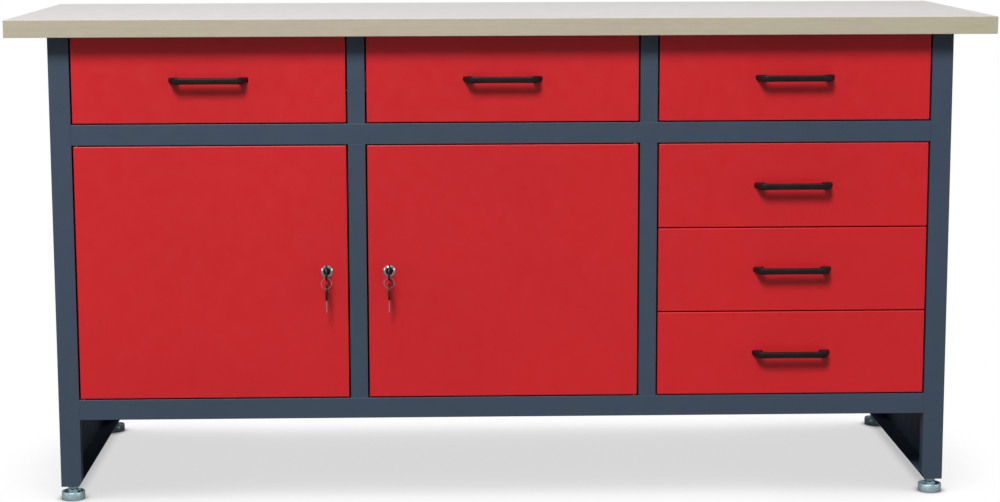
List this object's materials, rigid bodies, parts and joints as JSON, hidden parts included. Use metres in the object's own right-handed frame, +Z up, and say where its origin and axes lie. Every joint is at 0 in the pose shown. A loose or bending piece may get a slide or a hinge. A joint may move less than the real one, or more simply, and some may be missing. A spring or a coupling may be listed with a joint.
{
  "type": "workbench with drawers",
  "caption": "Steel workbench with a flat wooden top, drawers with bow handles, lockable cupboard doors with shelves, and adjustable feet.",
  "frame": {"origin": "on the floor under the centre of the worktop", "axes": "+X along the bench to the right as seen from the front, +Y from front to back, +Z up"},
  "size_m": [1.7, 0.6005, 0.85],
  "materials": {
    "worktop_board": "smooth light board with a pale edge",
    "frame_blue_grey": "satin powder coat, blue grey",
    "inner_grey": "satin powder coat, blue grey",
    "front_red": "satin powder coat, red",
    "handle_black": "matte black",
    "zinc": "bright zinc plate",
    "foot_zinc": "blue zinc plate",
    "lock_chrome": "polished chrome",
    "ring_chrome": "polished chrome",
    "key_steel": "nickelled blade with a dark head"
  },
  "bodies": {
    "frame": {"back_panel": "inner_grey", "bottom_panel": "inner_grey", "bottom_rail": "frame_blue_grey", "door_hinge_pins": "zinc", "frame_fasteners": "zinc", "lower_partition_left": "frame_blue_grey", "lower_partition_right": "frame_blue_grey", "middle_deck": "inner_grey", "middle_rail": "frame_blue_grey", "rear_rails": "frame_blue_grey", "shelf_centre": "inner_grey", "shelf_left": "inner_grey", "shelf_pegs": "zinc", "side_frame_left": "frame_blue_grey", "side_frame_right": "frame_blue_grey", "slide_brackets": "frame_blue_grey", "slide_rails": "zinc", "upper_divider_left": "frame_blue_grey", "upper_divider_right": "frame_blue_grey", "worktop": "worktop_board"},
    "drawer_top_left": {"drawer_top_left_front": "front_red", "drawer_top_left_tray": "inner_grey", "drawer_top_left_handle": "handle_black", "drawer_top_left_runners": "zinc"},
    "drawer_top_centre": {"drawer_top_centre_front": "front_red", "drawer_top_centre_tray": "inner_grey", "drawer_top_centre_handle": "handle_black", "drawer_top_centre_runners": "zinc"},
    "drawer_top_right": {"drawer_top_right_front": "front_red", "drawer_top_right_tray": "inner_grey", "drawer_top_right_handle": "handle_black", "drawer_top_right_runners": "zinc"},
    "drawer_side_lower": {"drawer_side_lower_front": "front_red", "drawer_side_lower_tray": "inner_grey", "drawer_side_lower_handle": "handle_black", "drawer_side_lower_runners": "zinc"},
    "drawer_side_middle": {"drawer_side_middle_front": "front_red", "drawer_side_middle_tray": "inner_grey", "drawer_side_middle_handle": "handle_black", "drawer_side_middle_runners": "zinc"},
    "drawer_side_upper": {"drawer_side_upper_front": "front_red", "drawer_side_upper_tray": "inner_grey", "drawer_side_upper_handle": "handle_black", "drawer_side_upper_runners": "zinc"},
    "door_left": {"door_left_panel": "front_red", "door_left_lock_housing": "lock_chrome"},
    "lock_left": {"door_left_lock_cam": "zinc", "door_left_key": "key_steel"},
    "key_ring_left": {"door_left_key_ring": "ring_chrome", "door_left_spare_key": "key_steel"},
    "door_centre": {"door_centre_panel": "front_red", "door_centre_lock_housing": "lock_chrome"},
    "lock_centre": {"door_centre_lock_cam": "zinc", "door_centre_key": "key_steel"},
    "key_ring_centre": {"door_centre_key_ring": "ring_chrome", "door_centre_spare_key": "key_steel"},
    "foot_front_left": {"foot_front_left": "foot_zinc"},
    "foot_front_right": {"foot_front_right": "foot_zinc"},
    "foot_rear_left": {"foot_rear_left": "foot_zinc"},
    "foot_rear_right": {"foot_rear_right": "foot_zinc"}
  },
  "joints": [
    {"name": "drawer_top_left_slide", "type": "slide", "parent": "frame", "child": "drawer_top_left", "axis": [0, -1, 0], "range_m": [0, 0.35]},
    {"name": "drawer_top_centre_slide", "type": "slide", "parent": "frame", "child": "drawer_top_centre", "axis": [0, -1, 0], "range_m": [0, 0.35]},
    {"name": "drawer_top_right_slide", "type": "slide", "parent": "frame", "child": "drawer_top_right", "axis": [0, -1, 0], "range_m": [0, 0.35]},
    {"name": "drawer_side_lower_slide", "type": "slide", "parent": "frame", "child": "drawer_side_lower", "axis": [0, -1, 0], "range_m": [0, 0.35]},
    {"name": "drawer_side_middle_slide", "type": "slide", "parent": "frame", "child": "drawer_side_middle", "axis": [0, -1, 0], "range_m": [0, 0.35]},
    {"name": "drawer_side_upper_slide", "type": "slide", "parent": "frame", "child": "drawer_side_upper", "axis": [0, -1, 0], "range_m": [0, 0.35]},
    {"name": "door_left_hinge", "type": "hinge", "parent": "frame", "child": "door_left", "pos_m": [-0.739, -0.255, 0.40625], "axis": [0, 0, -1], "range_deg": [0, 110]},
    {"name": "lock_left_turn", "type": "hinge", "parent": "door_left", "child": "lock_left", "pos_m": [-0.3085, -0.263, 0.408], "axis": [0, -1, 0], "range_deg": [0, 90]},
    {"name": "key_ring_left_swing", "type": "hinge", "parent": "lock_left", "child": "key_ring_left", "pos_m": [-0.3085, -0.283, 0.3955], "axis": [0, -1, 0], "range_deg": [-90, 0]},
    {"name": "door_centre_hinge", "type": "hinge", "parent": "frame", "child": "door_centre", "pos_m": [0.231, -0.255, 0.40625], "axis": [0, 0, 1], "range_deg": [0, 90]},
    {"name": "lock_centre_turn", "type": "hinge", "parent": "door_centre", "child": "lock_centre", "pos_m": [-0.1995, -0.263, 0.408], "axis": [0, 1, 0], "range_deg": [0, 90]},
    {"name": "key_ring_centre_swing", "type": "hinge", "parent": "lock_centre", "child": "key_ring_centre", "pos_m": [-0.1995, -0.283, 0.3955], "axis": [0, 1, 0], "range_deg": [-90, 0]},
    {"name": "foot_front_left_adjust", "type": "slide", "parent": "frame", "child": "foot_front_left", "axis": [0, 0, -1], "range_m": [0, 0.015]},
    {"name": "foot_front_right_adjust", "type": "slide", "parent": "frame", "child": "foot_front_right", "axis": [0, 0, -1], "range_m": [0, 0.015]},
    {"name": "foot_rear_left_adjust", "type": "slide", "parent": "frame", "child": "foot_rear_left", "axis": [0, 0, -1], "range_m": [0, 0.015]},
    {"name": "foot_rear_right_adjust", "type": "slide", "parent": "frame", "child": "foot_rear_right", "axis": [0, 0, -1], "range_m": [0, 0.015]}
  ],
  "couplings": [
    {"joint": "key_ring_left_swing", "follows": "lock_left_turn", "ratio": -1},
    {"joint": "key_ring_centre_swing", "follows": "lock_centre_turn", "ratio": -1}
  ]
}
